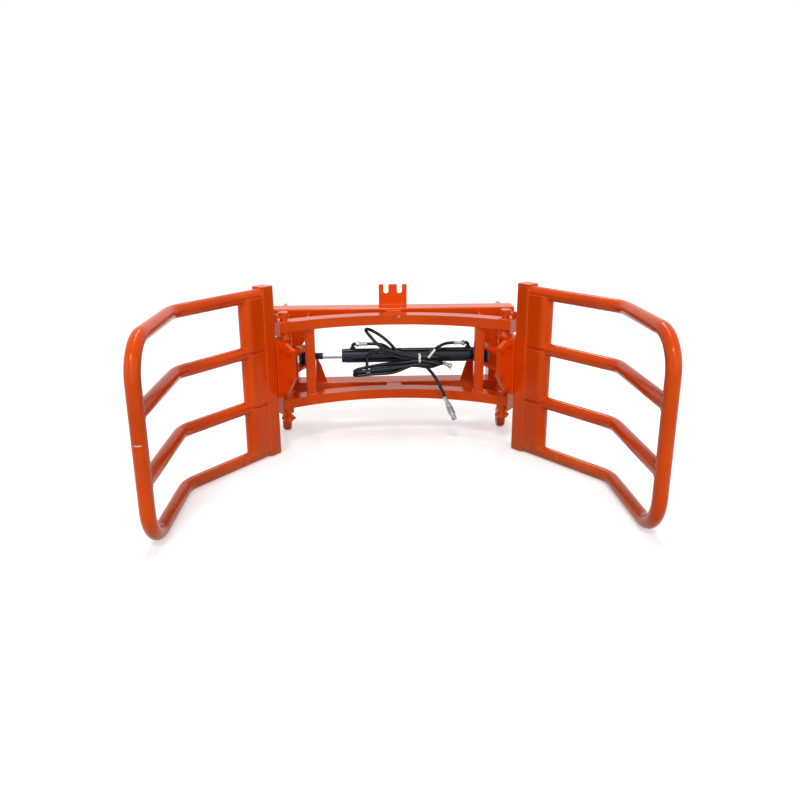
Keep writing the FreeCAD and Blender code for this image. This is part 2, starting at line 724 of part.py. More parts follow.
shells = []
for upper, lower in zip(pipe_levels[:-1], pipe_levels[1:]):
    height = upper - lower - 2.0 * shell_edge
    shell = nose_profile(nose_r, face_x, lower + shell_edge, height)
    shell = shell.cut(nose_profile(nose_r - shell_wall, face_x - 1.0, lower + shell_edge - 1.0, height + 2.0))
    for level in (upper, lower):
        run = Part.makeCylinder(pipe_r + weld_gap, inner_run, Vec(face_x - 1.0, 0, level), Vec(1, 0, 0))
        shell = shell.cut(run)
        shell = max(shell.Solids, key=lambda s: s.Volume)
    shells.append(shell)
save_arm("stiffener_shells", in_arm(Part.makeCompound(shells)))

# Flange plates between the post and the hub, bolted face to face
rear_face = -post_side / 2.0
cut_a = flange_cut_top
cut_b = flange_cut_low
foot = flange_cut_foot


def flange(start):
    half = [(flange_half - cut_a[0], flange_top), (flange_half, flange_top - cut_a[1]),
            (flange_half, flange_bottom + foot[1] + cut_b[1]),
            (flange_half - cut_b[0], flange_bottom + foot[1]),
            (flange_half - cut_b[0] - foot[0], flange_bottom)]
    corners = [(Vec(start, y, z), flange_corner) for y, z in half]
    corners += [(Vec(start, -y, z), flange_corner) for y, z in reversed(half)]
    solid = plate(corners, Vec(flange_thick, 0, 0))
    for y, z in bolt_places:
        solid = solid.cut(rod(flange_bolt_dia / 2.0 + bolt_fit, Vec(start - 1.0, y, z),
                              Vec(start + flange_thick + 1.0, y, z)))
    return solid


flange_bolts = ((flange_half - inner_bolt_inset, flange_top - bolt_drops[0]),
                (flange_half - outer_bolt_inset, flange_top - bolt_drops[1]),
                (flange_half - outer_bolt_inset, flange_bottom + bolt_rises[0]),
                (flange_half - inner_bolt_inset, flange_bottom + bolt_rises[1]))
bolt_places = [(s * y, z) for y, z in flange_bolts for s in (1, -1)]
save_arm("post_flange", in_arm(flange(rear_face - flange_thick)))
save_arm("hub_flange", in_arm(flange(rear_face - 2.0 * flange_thick)))
flange_rear = rear_face - 2.0 * flange_thick
bolts = []
for y, z in bolt_places:
    bolts.append(bolt(flange_bolt_dia, Vec(rear_face, y, z), Vec(flange_rear, y, z), True))
save_arm("flange_bolts", in_arm(Part.makeCompound(bolts)))

# Hub tube with a pressed bush at each end
hub = ring(hub_dia / 2.0, bush_dia / 2.0, Vec(hinge_x, hinge_y, hub_low), Vec(hinge_x, hinge_y, hub_high))
save_arm("hub", hub)
bushes = []
for low in (hub_low, hub_high - bush_length):
    bushes.append(ring(bush_dia / 2.0 - press_fit, pin_r + pin_fit, Vec(hinge_x, hinge_y, low),
                       Vec(hinge_x, hinge_y, low + bush_length)))
save_arm("hub_bushes", Part.makeCompound(bushes))

# Webs from the hub to its flange: one upright, one across the top and one below
web_x0 = -post_reach
lever_levels = (cyl_z - clevis_gap / 2.0 - lever_thick, cyl_z + clevis_gap / 2.0)
hub_bore = Part.makeCylinder(hub_dia / 2.0 + weld_gap, through_all, Vec(-post_reach, post_inset, 0))
upright_web = box(web_x0, flange_rear, post_inset - web_thick / 2.0, post_inset + web_thick / 2.0,
                  flange_bottom + web_thick, flange_top - web_thick)
upright_web = upright_web.cut(hub_bore)
for low in lever_levels:
    slot = Part.makeCylinder(lever_hub_round + weld_gap, lever_thick + 2.0 * weld_gap,
                             Vec(-post_reach, post_inset, low - weld_gap))
    upright_web = upright_web.cut(slot)
webs = [upright_web]
for low in (flange_bottom, flange_top - web_thick):
    corners = [(Vec(flange_rear, -flange_half + cut_b[0] + foot[0], low), 0.0),
               (Vec(flange_rear, flange_half - cut_b[0] - foot[0], low), 0.0),
               (Vec(web_x0, post_inset + web_hub_round, low), web_corner),
               (Vec(web_x0 - web_hub_round, post_inset, low), web_tip_corner),
               (Vec(web_x0, post_inset - web_hub_round, low), web_corner)]
    webs.append(plate(corners, Vec(0, 0, web_thick)).cut(hub_bore))
save_arm("hub_webs", in_arm(Part.makeCompound(webs)))


# Lever plates: a link outline from the hub to the cylinder pin
def link_outline(first, first_r, second, second_r):
    line = second - first
    length = line.Length
    along = math.atan2(line.y, line.x)
    spread = math.acos((first_r - second_r) / length)
    edges = []
    spots = []
    for sign in (1, -1):
        turn = along + sign * spread
        ray = Vec(math.cos(turn), math.sin(turn), 0)
        spots.append((first + ray * first_r, second + ray * second_r))
    far = second + Vec(math.cos(along), math.sin(along), 0) * second_r
    near = first - Vec(math.cos(along), math.sin(along), 0) * first_r
    edges.append(Part.LineSegment(spots[0][0], spots[0][1]).toShape())
    edges.append(Part.Arc(spots[0][1], far, spots[1][1]).toShape())
    edges.append(Part.LineSegment(spots[1][1], spots[1][0]).toShape())
    edges.append(Part.Arc(spots[1][0], near, spots[0][0]).toShape())
    return Part.Face(Part.Wire(edges))


cyl_pin = Vec(cyl_pin_x, cyl_y, 0)
pin_half_span = clevis_gap / 2.0 + lever_thick
levers = []
for low in lever_levels:
    lever = link_outline(hinge + UP * low, lever_hub_round, cyl_pin + UP * low, lever_pin_round)
    lever = lever.extrude(Vec(0, 0, lever_thick))
    lever = lever.cut(Part.makeCylinder(hub_dia / 2.0 + weld_gap, through_all, hinge))
    lever = lever.cut(Part.makeCylinder(cylinder_pin_dia / 2.0 + pin_fit, through_all, cyl_pin))
    levers.append(lever)
save_arm("lever_plates", Part.makeCompound(levers))

washer_low = cyl_z - pin_half_span - pin_washer_thick
washer_high = cyl_z + pin_half_span
cylinder_pin = rod(cylinder_pin_dia / 2.0, cyl_pin + UP * (washer_low - pin_foot),
                   cyl_pin + UP * (washer_high + pin_washer_thick + pin_top))
low_washer = rod(pin_washer_dia / 2.0, cyl_pin + UP * washer_low, cyl_pin + UP * (washer_low + pin_washer_thick))
pin_cap = rod(pin_washer_dia / 2.0, cyl_pin + UP * washer_high, cyl_pin + UP * (washer_high + pin_washer_thick))
save_arm("cylinder_pin", cylinder_pin.fuse([low_washer, pin_cap]).removeSplitter())

# Cylinder barrel with its base cap and eye, open at the gland end
left_end = Vec(barrel_left, cyl_y, cyl_z)
right_end = Vec(barrel_right, cyl_y, cyl_z)
axis = Vec(1, 0, 0)
barrel = rod(barrel_dia / 2.0, left_end, right_end)
barrel = barrel.cut(rod(bore_dia / 2.0, left_end - axis, right_end - axis * base_thick))
for x in (barrel_left + port_rod_side, barrel_right - port_base_side):
    boss = rod(port_boss_dia / 2.0, Vec(x, cyl_y, cyl_z + (bore_dia + barrel_dia) / 4.0),
               Vec(x, cyl_y, cyl_z + barrel_dia / 2.0 + port_boss_height))
    barrel = barrel.fuse(boss)
barrel = barrel.removeSplitter()
save("cylinder_barrel", barrel)


def pin_eye(centre, toward, end, bore_r):
    eye = rod(eye_dia / 2.0, centre - UP * (eye_width / 2.0), centre + UP * (eye_width / 2.0))
    eye = eye.fuse(rod(eye_neck_dia / 2.0, centre + toward * eye_neck_start, end))
    eye = eye.cut(rod(bore_r, centre - UP * eye_width, centre + UP * eye_width))
    return eye.removeSplitter()


base_centre = Vec(cyl_pin_x, cyl_y, cyl_z)
save("cylinder_base_eye", pin_eye(base_centre, axis * -1.0, right_end, cylinder_pin_dia / 2.0 + pin_fit))

rod_r = rod_dia / 2.0
gland = ring(barrel_dia / 2.0 - gland_step, rod_r + pin_fit, left_end - axis * gland_lip, left_end)
gland_in = ring(bore_dia / 2.0 - pin_fit, rod_r + pin_fit, left_end, left_end + axis * gland_length)
save("cylinder_gland", gland.fuse(gland_in).removeSplitter())

# Rod, piston and rod eye
rod_end_x = barrel_left - gland_lip - rod_shown
piston_x = barrel_right - piston_from_end
cylinder_rod = rod(rod_r, Vec(rod_end_x, cyl_y, cyl_z), Vec(piston_x, cyl_y, cyl_z))
piston = rod(bore_dia / 2.0 - piston_fit, Vec(piston_x, cyl_y, cyl_z), Vec(piston_x + piston_length, cyl_y, cyl_z))
save("cylinder_rod", Part.makeCompound([cylinder_rod, piston]))
rod_centre = Vec(-cyl_pin_x, cyl_y, cyl_z)
save("cylinder_rod_eye", pin_eye(rod_centre, axis, Vec(rod_end_x, cyl_y, cyl_z), cylinder_pin_dia / 2.0 + open_pivot_gap))

# Port elbows with swivel nuts and hose ferrules, heading towards the middle
port_top = cyl_z + barrel_dia / 2.0 + port_boss_height
fitting_z = port_top + elbow_rise
elbows = []
fittings = []
hose_starts = []
for x, way in ((barrel_left + port_rod_side, 1.0), (barrel_right - port_base_side, -1.0)):
    knee = [Vec(x, cyl_y, port_top), Vec(x, cyl_y, fitting_z), Vec(x + way * elbow_run, cyl_y, fitting_z)]
    elbows.append(swept(elbow_dia / 2.0, path_wire(knee, [elbow_bend_r])))
    fittings.append(hex_prism(swivel_across, swivel_length, knee[-1], axis * way))
    ferrule_start = knee[-1] + axis * (way * swivel_length)
    ferrule_end = ferrule_start + axis * (way * ferrule_length)
    fittings.append(rod(ferrule_dia / 2.0, ferrule_start, ferrule_end))
    hose_starts.append(ferrule_end.x)
save("port_elbows", Part.makeCompound(elbows))
save("port_fittings", Part.makeCompound(fittings))

# Hose routes, as offsets from the cylinder axis at X = 0
rod_side_route = [(hose_starts[0], 0, fitting_z - cyl_z), (-105, 0, 63), (-64, -8, 60), (-38, -24, 50),
                  (-20, -40, 36), (-3, -56, 26)]
base_side_route = [(hose_starts[1], 0, fitting_z - cyl_z), (288, 0, 63), (256, -14, 58), (226, -34, 46),
                   (200, -46, 30), (160, -50, 8)]
loop_route = [(-28, -65, 32), (-60, -65, 46), (-101, -64, 83), (-139, -63, 123), (-153, -39, 144),
              (-147, -5, 149), (-127, 19, 136), (-88, 16, 112), (-52, 8, 88), (-20, -6, 62),
              (2, -28, 46), (14, -48, 28)]
curl_route = [(-46, -47, 34), (-73, -47, 43), (-103, -47, 44), (-130, -47, 28), (-146, -47, 1),
              (-146, -47, -30), (-130, -47, -56)]
tail_route = [(152, -56, -34), (170, -70, -54), (188, -94, -68), (208, -124, -90), (227, -150, -120),
              (241, -164, -152), (255, -166, -184)]


def route_points(route):
    return [Vec(x, cyl_y + y, cyl_z + z) for x, y, z in route]


def save_hose(name, route):
    points = route_points(route)
    radii = []
    for i in range(1, len(points) - 1):
        before = points[i] - points[i - 1]
        after = points[i + 1] - points[i]
        shorter = min(before.Length, after.Length)
        radii.append(0.45 * shorter / math.tan(before.getAngle(after) / 2.0))
    path = path_wire(points, radii)
    hose = swept(hose_dia / 2.0, path)
    save(name, hose)
    print("  length", round(path.Length), "radii", [round(r) for r in radii],
          "volume ratio", round(hose.Volume / (path.Length * math.pi * hose_dia ** 2 / 4.0), 4))


save_hose("rod_side_hose", rod_side_route)
save_hose("base_side_hose", base_side_route)
save_hose("hose_loop", loop_route)
save_hose("hose_curl", curl_route)
save_hose("hose_tail", tail_route)

# Hank of the two hoses, tied against the front of the barrel
hank_outline = [(-208, -68, 8), (-120, -36, 60), (-25, -16, 60), (60, -9, 12), (10, 3, 40), (-58, 20, 8),
                (-72, 44, 8), (-14, 56, 20), (91, 25, 60), (150, 19, 60), (207, 12, 30), (263, -26, 8),
                (245, -39, 12), (155, -44, 60), (49, -62, 60), (-10, -88, 40), (-68, -92, 40),
                (-121, -94, 60), (-201, -101, 8), (-216, -88, 8)]
hank_rear = cyl_y - barrel_dia / 2.0 - cable_tie_thick - 2.0 * weld_gap
hank = plate([(Vec(x, hank_rear - hank_depth, cyl_z + z), r) for x, z, r in hank_outline],
             Vec(0, hank_depth, 0))
save("hose_hank", hank)

# Quick coupling on the free hose, and the fitting on the end of the other one in the hank
tail = route_points(tail_route)
tail_dir = (tail[-1] - tail[-2]).normalize()
couplings = []
start = tail[-1]
for kind, size, length in (("round", ferrule_dia, ferrule_length), ("hex", swivel_across, swivel_length),
                           ("round", coupling_dia, coupling_length),
                           ("round", coupling_tip_dia, coupling_tip_length)):
    end = start + tail_dir * length
    if kind == "hex":
        couplings.append(hex_prism(size, length, start, tail_dir))
    else:
        couplings.append(rod(size / 2.0, start, end))
    start = end
free_end = Vec(free_fitting[0], hank_rear - hank_depth / 2.0, cyl_z + free_fitting[1])
free_dir = Vec(28, 0, -12).normalize()
free_mid = free_end + free_dir * free_ferrule_length
couplings.append(rod(ferrule_dia / 2.0, free_end, free_mid))
couplings.append(hex_prism(swivel_across, swivel_length, free_mid, free_dir))
save("hose_couplings", Part.makeCompound(couplings))

# Cable ties: one round the waist of the hank, one round the base side hose
tie_x = cable_tie_x
tie_slice = box(tie_x, tie_x + cable_tie_width, hank_rear - 2.0 * hank_depth, hank_rear + 1.0, 0.0, through_all)
tie_grip = hank.common(tie_slice).BoundBox


def tie_outline(margin, start, radius):
    low = tie_grip.ZMin - margin
    high = tie_grip.ZMax + margin
    front = tie_grip.YMin - margin
    back = tie_grip.YMax + margin
    return [(Vec(start, front, low), radius), (Vec(start, back, low), radius),
            (Vec(start, back, high), radius), (Vec(start, front, high), radius)]


outer_corner = cable_tie_corner + cable_tie_thick
band = plate(tie_outline(weld_gap + cable_tie_thick, tie_x, outer_corner), axis * cable_tie_width)
band = band.cut(plate(tie_outline(weld_gap, tie_x - 1.0, cable_tie_corner), axis * (cable_tie_width + 2.0)))
base_points = route_points(base_side_route)
tie_at = (base_points[3] + base_points[4]) * 0.5
tie_way = (base_points[4] - base_points[3]).normalize() * (cable_tie_width / 2.0)
tie_inner_r = hose_dia / 2.0 + weld_gap
loop_tie = ring(tie_inner_r + cable_tie_thick, tie_inner_r, tie_at - tie_way, tie_at + tie_way)
save("cable_ties", Part.makeCompound([band, loop_tie]))
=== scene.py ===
import json
import math

import bmesh
import bpy
from mathutils import Matrix, Vector


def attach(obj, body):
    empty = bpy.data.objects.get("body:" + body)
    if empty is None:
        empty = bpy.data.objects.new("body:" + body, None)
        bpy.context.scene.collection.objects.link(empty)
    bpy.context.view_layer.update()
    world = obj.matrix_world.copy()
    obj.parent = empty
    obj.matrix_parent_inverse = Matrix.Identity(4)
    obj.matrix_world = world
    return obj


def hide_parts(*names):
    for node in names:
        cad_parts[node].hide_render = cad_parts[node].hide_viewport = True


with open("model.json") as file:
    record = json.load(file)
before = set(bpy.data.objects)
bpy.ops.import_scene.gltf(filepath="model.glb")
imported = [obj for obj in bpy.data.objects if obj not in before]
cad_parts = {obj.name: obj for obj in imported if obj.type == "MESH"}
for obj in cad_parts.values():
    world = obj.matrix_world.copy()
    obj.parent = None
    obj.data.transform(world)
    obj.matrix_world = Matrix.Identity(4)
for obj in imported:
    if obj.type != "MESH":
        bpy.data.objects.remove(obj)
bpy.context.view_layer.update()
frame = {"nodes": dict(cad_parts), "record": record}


# Shader maths: a value wraps one output socket of a node tree
class Value:
    def __init__(self, shade, out):
        self.shade = shade
        self.out = out

    def math(self, operation, other=0.0, third=0.0):
        made = self.shade.node("ShaderNodeMath", {"operation": operation}, {0: self, 1: other, 2: third})
        return Value(self.shade, made.outputs[0])

    def __add__(self, other):
        return self.math("ADD", other)

    def __sub__(self, other):
        return self.math("SUBTRACT", other)

    def __mul__(self, other):
        return self.math("MULTIPLY", other)

    def __truediv__(self, other):
        return self.math("DIVIDE", other)

    def __radd__(self, other):
        return self.math("ADD", other)

    def __rmul__(self, other):
        return self.math("MULTIPLY", other)

    def __rsub__(self, other):
        return (self * -1.0) + other

    def ramp(self, low, high, start=0.0, end=1.0):
        made = self.shade.node("ShaderNodeMapRange", {"interpolation_type": "SMOOTHSTEP", "clamp": True},
                               {0: self, 1: low, 2: high, 3: start, 4: end})
        return Value(self.shade, made.outputs[0])


class Shade:
    def __init__(self, name):
        self.material = bpy.data.materials.new(name)
        self.material.use_nodes = True
        self.tree = self.material.node_tree
        self.tree.nodes.clear()
        self.place = self.node("ShaderNodeTexCoord").outputs["Object"]

    def node(self, kind, settings=None, inputs=None):
        made = self.tree.nodes.new(kind)
        for key, value in (settings or {}).items():
            setattr(made, key, value)
        for key, value in (inputs or {}).items():
            if isinstance(value, Value):
                value = value.out
            if isinstance(value, bpy.types.NodeSocket):
                self.tree.links.new(value, made.inputs[key])
            else:
                made.inputs[key].default_value = value
        return made

    def noise(self, scale, detail=3.0, stretch=None, rough=0.5):
        place = self.place
        if stretch:
            place = self.node("ShaderNodeMapping", None, {"Vector": place, "Scale": stretch}).outputs[0]
        made = self.node("ShaderNodeTexNoise", None,
                         {"Vector": place, "Scale": scale, "Detail": detail, "Roughness": rough})
        return Value(self, made.outputs[0])

    def cells(self, scale, feature="F1", stretch=None):
        place = self.place
        if stretch:
            place = self.node("ShaderNodeMapping", None, {"Vector": place, "Scale": stretch}).outputs[0]
        made = self.node("ShaderNodeTexVoronoi", {"feature": feature}, {"Vector": place, "Scale": scale})
        return Value(self, made.outputs[0])

    def axis(self, letter):
        return Value(self, self.node("ShaderNodeSeparateXYZ", None, {0: self.place}).outputs[letter])

    def blend(self, factor, first, second):
        made = self.node("ShaderNodeMix", {"data_type": "RGBA"}, {0: factor, 6: first, 7: second})
        return made.outputs[2]

    def bump(self, height, strength, distance):
        return self.node("ShaderNodeBump", None, {"Height": height, "Strength": strength, "Distance": distance}).outputs[0]

    def surface(self, inputs):
        shader = self.node("ShaderNodeBsdfPrincipled", None, inputs)
        self.node("ShaderNodeOutputMaterial", None, {0: shader.outputs[0]})
        return self.material


def rgb(red, green, blue):
    # display colour, 0 to 255, as a linear one
    def linear(part):
        part = part / 255.0
        return part / 12.92 if part <= 0.04045 else ((part + 0.055) / 1.055) ** 2.4
    return (linear(red), linear(green), linear(blue), 1.0)


# Materials
def redPaint(name, ripple=0.0):
    look = {"paint": (0.84, 0.074, 0.0, 1.0), "deep": (0.71, 0.052, 0.0, 1.0), "dust": (0.42, 0.17, 0.06, 1.0),
            "scuff": (0.86, 0.2, 0.08, 1.0), "dustTop": 0.14, "gloss": 0.7 if ripple else 0.3,
            "mark": (0.93, 0.66, 0.5, 1.0), "markFoot": 0.446, "markTop": 0.452}
    shade = Shade(name)
    patches = shade.noise(2.6, 4.0).ramp(0.35, 0.7)
    colour = shade.blend(patches, look["paint"], look["deep"])
    scratches = shade.noise(34.0, 6.0, (1.0, 1.0, 0.12), 0.7).ramp(0.7, 0.76)
    colour = shade.blend(scratches * 0.55, colour, look["scuff"])
    height = shade.axis("Z")
    mark = height.ramp(look["markFoot"], look["markFoot"] + 0.001) * height.ramp(look["markTop"] - 0.001, look["markTop"], 1.0, 0.0)
    mark = mark * shade.axis("X").ramp(-0.99, -0.987) * shade.axis("X").ramp(-0.962, -0.959, 1.0, 0.0) * shade.axis("Y").ramp(-0.76, -0.74, 1.0, 0.0)
    colour = shade.blend(mark, colour, look["mark"])  # one bare scratch across the right hoop
    low = height.ramp(0.0, look["dustTop"], 1.0, 0.0)
    specks = shade.noise(38.0, 5.0, None, 0.65).ramp(0.42, 0.72)
    dust = low * (specks * 0.6 + 0.22)
    colour = shade.blend(dust, colour, look["dust"])
    peel = shade.noise(230.0, 2.0)
    height = peel + shade.noise(14.0, 2.0) * 2.0
    if ripple:
        height = height + shade.noise(420.0, 2.0) * ripple
    return shade.surface({
        "Base Color": colour, "Roughness": (dust + scratches) * 0.3 + (shade.noise(9.0, 3.0) * 0.08 + 0.12),
        "Specular IOR Level": look["gloss"], "Specular Tint": (1.0, 0.75, 0.35, 1.0),
        "Normal": shade.bump(height, 0.25, 0.0006)})


def paintedBolts():
    shade = Shade("paintedBolts")
    chips = shade.noise(70.0, 5.0, None, 0.7).ramp(0.62, 0.7)
    return shade.surface({
        "Base Color": shade.blend(chips, (0.7, 0.055, 0.005, 1.0), rgb(128, 92, 72)),
        "Roughness": chips * 0.25 + 0.26, "Specular IOR Level": 0.2,
        "Normal": shade.bump(shade.noise(260.0, 3.0) - chips * 0.6, 0.3, 0.0006)})


def blackPaint():
    shade = Shade("blackPaint")
    film = shade.noise(6.0, 4.0, (0.4, 1.0, 1.0)).ramp(0.3, 0.75)
    grain = shade.noise(310.0, 2.0)
    return shade.surface({
        "Base Color": shade.blend(film, rgb(8, 9, 12), rgb(22, 23, 27)),
        "Roughness": film * 0.1 + 0.16, "Specular IOR Level": 0.26, "Specular Tint": (0.7, 0.85, 1.0, 1.0),
        "Normal": shade.bump(grain + shade.noise(22.0, 2.0), 0.2, 0.0004)})


def chromeRod():
    shade = Shade("chromeRod")
    lines = shade.noise(900.0, 2.0, (1.0, 0.05, 0.05))
    haze = shade.noise(12.0, 4.0)
    return shade.surface({
        "Base Color": shade.blend(haze, rgb(172, 174, 180), rgb(138, 141, 148)), "Metallic": 1.0,
        "Roughness": haze * 0.08 + (lines * 0.05 + 0.07), "Normal": shade.bump(lines, 0.08, 0.0001)})


def zincSteel():
    shade = Shade("zincSteel")
    spangle = shade.cells(160.0)
    tarnish = shade.noise(45.0, 4.0).ramp(0.4, 0.75)
    return shade.surface({
        "Base Color": shade.blend(tarnish, rgb(178, 179, 180), rgb(110, 108, 104)), "Metallic": 0.85,
        "Roughness": tarnish * 0.16 + (spangle * 0.1 + 0.24),
        "Normal": shade.bump(shade.noise(420.0, 3.0), 0.2, 0.0003)})


def bushSteel():
    shade = Shade("bushSteel")
    turning = shade.noise(1200.0, 2.0, (0.05, 0.05, 1.0))
    grease = shade.noise(60.0, 4.0).ramp(0.45, 0.7)
    return shade.surface({
        "Base Color": shade.blend(grease, rgb(150, 146, 138), rgb(64, 54, 44)), "Metallic": 0.9,
        "Roughness": grease * 0.25 + 0.3, "Normal": shade.bump(turning, 0.2, 0.0002)})


def hoseRubber():
    shade = Shade("hoseRubber")
    wrap = shade.noise(420.0, 3.0)
    scuff = shade.noise(26.0, 5.0, None, 0.6).ramp(0.5, 0.78)
    return shade.surface({
        "Base Color": shade.blend(scuff, rgb(12, 12, 14), rgb(40, 40, 42)),
        "Roughness": scuff * 0.14 + 0.27, "Specular IOR Level": 0.32,
        "Specular Tint": (0.75, 0.88, 1.0, 1.0), "Normal": shade.bump(wrap + scuff * 0.4, 0.25, 0.0005)})


def whiteNylon():
    shade = Shade("whiteNylon")
    soil = shade.noise(80.0, 4.0).ramp(0.5, 0.8)
    return shade.surface({
        "Base Color": shade.blend(soil, rgb(250, 250, 248), rgb(232, 230, 224)),
        "Roughness": soil * 0.15 + 0.4, "Normal": shade.bump(shade.noise(500.0, 2.0), 0.15, 0.0003)})


finishes = {"red_paint": redPaint("redPaint"), "weld_paint": redPaint("weldPaint", 3.0), "painted_bolts": paintedBolts(),
            "black_paint": blackPaint(),
            "chrome_rod": chromeRod(), "zinc_steel": zincSteel(), "bush_steel": bushSteel(),
            "hose_rubber": hoseRubber(), "white_nylon": whiteNylon()}


def finish(thing, name):
    thing.data.materials.clear()
    thing.data.materials.append(finishes[name])


# The CAD pieces take the finishes of their slots
slotOf = {piece["node"]: piece["material_slot"] for piece in frame["record"]["subparts"]}
for nodeName, thing in frame["nodes"].items():
    thing.data.materials.clear()
    thing.data.materials.append(finishes[slotOf[nodeName]])
print("materials on", len(frame["nodes"]), "nodes")


# Camera and stage
def addCamera():
    view = {"place": (-0.1331, -3.43998, 1.4308), "pitch": 0.305, "yaw": 0.041, "roll": -0.004, "lens": 34.317}
    pitch = view["pitch"]
    yaw = view["yaw"]
    ahead = Vector((math.sin(yaw) * math.cos(pitch), math.cos(yaw) * math.cos(pitch), -math.sin(pitch)))
    right = Vector((math.cos(yaw), -math.sin(yaw), 0.0))
    up = right.cross(ahead)
    turnedRight = right * math.cos(view["roll"]) + up * math.sin(view["roll"])
    turnedUp = up * math.cos(view["roll"]) - right * math.sin(view["roll"])
    camera = bpy.data.objects.new("camera", bpy.data.cameras.new("camera"))
    camera.data.lens = view["lens"]
    camera.data.sensor_width = 36.0
    turn = Matrix((turnedRight, turnedUp, -ahead)).transposed().to_4x4()
    camera.matrix_world = Matrix.Translation(view["place"]) @ turn
    bpy.context.scene.collection.objects.link(camera)
    bpy.context.scene.camera = camera


def lit(tree, kind, colour, strength=None):
    made = tree.nodes.new(kind)
    made.inputs["Color"].default_value = (colour, colour, colour, 1.0)
    if strength is not None:
        made.inputs["Strength"].default_value = strength
    return made


def bySeenRay(tree, seen, other, target):
    # the camera, reflections and glass see one shader, and every other ray meets the other
    path = tree.nodes.new("ShaderNodeLightPath")
    total = path.outputs["Is Camera Ray"]
    for name in ("Is Glossy Ray", "Is Transmission Ray"):
        add = tree.nodes.new("ShaderNodeMath")
        add.operation = "ADD"
        add.use_clamp = True
        tree.links.new(total, add.inputs[0])
        tree.links.new(path.outputs[name], add.inputs[1])
        total = add.outputs[0]
    mix = tree.nodes.new("ShaderNodeMixShader")
    out = tree.nodes.new(target)
    tree.links.new(total, mix.inputs[0])
    tree.links.new(other.outputs[0], mix.inputs[1])
    tree.links.new(seen.outputs[0], mix.inputs[2])
    tree.links.new(mix.outputs[0], out.inputs[0])


def addStage():
    stage = {"half": 60.0, "floor": 0.85, "glow": 0.46, "floorAround": 0.3, "sky": 0.12}
    half = stage["half"]
    made = bmesh.new()
    bmesh.ops.create_grid(made, x_segments=1, y_segments=1, size=half)
    mesh = bpy.data.meshes.new("floor")
    made.to_mesh(mesh)
    made.free()
    floor = bpy.data.objects.new("floor", mesh)
    bpy.context.scene.collection.objects.link(floor)
    paper = bpy.data.materials.new("floorPaper")
    paper.use_nodes = True
    tree = paper.node_tree
    tree.nodes.clear()
    seen = tree.nodes.new("ShaderNodeAddShader")
    tree.links.new(lit(tree, "ShaderNodeBsdfDiffuse", stage["floor"]).outputs[0], seen.inputs[0])
    tree.links.new(lit(tree, "ShaderNodeEmission", 1.0, stage["glow"]).outputs[0], seen.inputs[1])
    bySeenRay(tree, seen, lit(tree, "ShaderNodeBsdfDiffuse", stage["floorAround"]), "ShaderNodeOutputMaterial")
    mesh.materials.append(paper)
    world = bpy.data.worlds.new("world")
    world.use_nodes = True
    world.node_tree.nodes.clear()
    bySeenRay(world.node_tree, lit(world.node_tree, "ShaderNodeBackground", 1.0, 1.0),
              lit(world.node_tree, "ShaderNodeBackground", 1.0, stage["sky"]), "ShaderNodeOutputWorld")
    bpy.context.scene.world = world


def addSun(name, tilt, turn, angle, strength):
    # tilt from straight down towards the camera side, turn about the vertical
    sun = bpy.data.objects.new(name, bpy.data.lights.new(name, "SUN"))
    sun.data.angle = math.radians(angle)
    sun.data.energy = strength
    sun.rotation_euler = (math.radians(tilt), 0.0, math.radians(turn))
    bpy.context.scene.collection.objects.link(sun)


addCamera()
addStage()
addSun("skylight", -8.0, 14.0, 70.0, 0.1)
for number, tilt in enumerate((-44.0, -33.0, -22.0, -11.0, 0.0)):
    addSun(f"stripLight{number}", tilt, 0.0, 9.0, 0.24)
addSun("keyLight", 38.0, -12.0, 13.0, 0.84)
addSun("frontFill", 68.0, 10.0, 60.0, 1.1)
addSun("leftFill", 72.0, -65.0, 40.0, 0.36)
addSun("rightFill", 72.0, 65.0, 40.0, 0.36)
scene = bpy.context.scene
scene.view_settings.view_transform = "Standard"
print("stage")


# Hoses: offsets in millimetres from the cylinder axis at X = 0
cylinderAxis = Vector((0.0, 0.51642, 0.437))


def hoseSpline(name, route, diameter):
    curve = bpy.data.curves.new(name, "CURVE")
    curve.dimensions = "3D"
    curve.resolution_u = 8
    curve.render_resolution_u = 8
    curve.bevel_depth = diameter / 2.0
    curve.bevel_resolution = 5
    curve.use_fill_caps = True
    spline = curve.splines.new("NURBS")
    spline.points.add(len(route) - 1)
    for point, offset in zip(spline.points, route):
        place = cylinderAxis + Vector(offset) / 1000.0
        point.co = (place.x, place.y, place.z, 1.0)
    spline.order_u = 3
    spline.use_endpoint_u = True
    hose = bpy.data.objects.new(name, curve)
    bpy.context.scene.collection.objects.link(hose)
    finish(hose, "hose_rubber")
    return hose


# Turned and hexagon pieces of the hose fittings
def placeAlong(made, verts, start, way):
    turn = Vector((0.0, 0.0, 1.0)).rotation_difference(Vector(way)).to_matrix().to_4x4()
    bmesh.ops.transform(made, verts=verts, matrix=Matrix.Translation(Vector(start)) @ turn)


def addTurned(made, start, way, steps, sides=40):
    # steps: distance along the axis and radius, in millimetres, from one end to the other
    dots = [made.verts.new((radius / 1000.0, 0.0, along / 1000.0)) for along, radius in steps]
    lines = [made.edges.new(pair) for pair in zip(dots[:-1], dots[1:])]
    before = set(made.verts) - set(dots)
    bmesh.ops.spin(made, geom=dots + lines, axis=(0.0, 0.0, 1.0), cent=(0.0, 0.0, 0.0), steps=sides,
                   angle=math.tau, use_merge=True)
    fresh = [vert for vert in made.verts if vert not in before]
    bmesh.ops.remove_doubles(made, verts=fresh, dist=0.00001)
    placeAlong(made, [vert for vert in made.verts if vert not in before], start, way)


